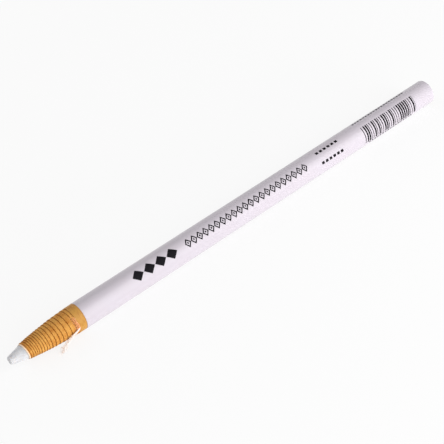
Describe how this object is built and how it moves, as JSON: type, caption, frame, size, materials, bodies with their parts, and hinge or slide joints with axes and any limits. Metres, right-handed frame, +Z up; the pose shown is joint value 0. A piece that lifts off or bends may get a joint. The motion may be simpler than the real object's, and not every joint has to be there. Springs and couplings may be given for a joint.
{
  "type": "china marker",
  "caption": "Peel-off china marker: round paper barrel with a white cover, ribbed kraft nose wound round a blunt white wax core, and a frayed pull string for peeling it.",
  "frame": {"origin": "under the middle of the marker's length, on the surface that it lies on", "axes": "+X along the barrel towards the point, +Y to the side where the string comes out, +Z up"},
  "size_m": [0.171, 0.0092, 0.0083],
  "materials": {
    "white_wax": "moulded white pigmented wax, smooth with a soft waxy sheen",
    "kraft_paper": "golden brown kraft paper, matte, edges slightly fibrous",
    "white_paper": "white coated paper with a soft satin sheen and a faint lavender cast",
    "white_thread": "off-white spun cotton thread, limp and frayed"
  },
  "bodies": {
    "barrel": {"marking_core": "white_wax", "paper_winding": "kraft_paper", "kraft_overwrap": "kraft_paper", "printed_cover": "white_paper", "pull_string": "white_thread"},
    "nose": {"peel_nose": "kraft_paper"},
    "string": {"string_tail": "white_thread"}
  },
  "joints": [
    {"name": "nose_peel", "type": "slide", "parent": "barrel", "child": "nose", "axis": [1, 0, 0], "range_m": [0, 0.03]},
    {"name": "string_pull", "type": "hinge", "parent": "barrel", "child": "string", "pos_m": [0.06425, 0.00446, 0.00478], "axis": [0.5, 0, 0.866], "range_deg": [0, 150]}
  ]
}
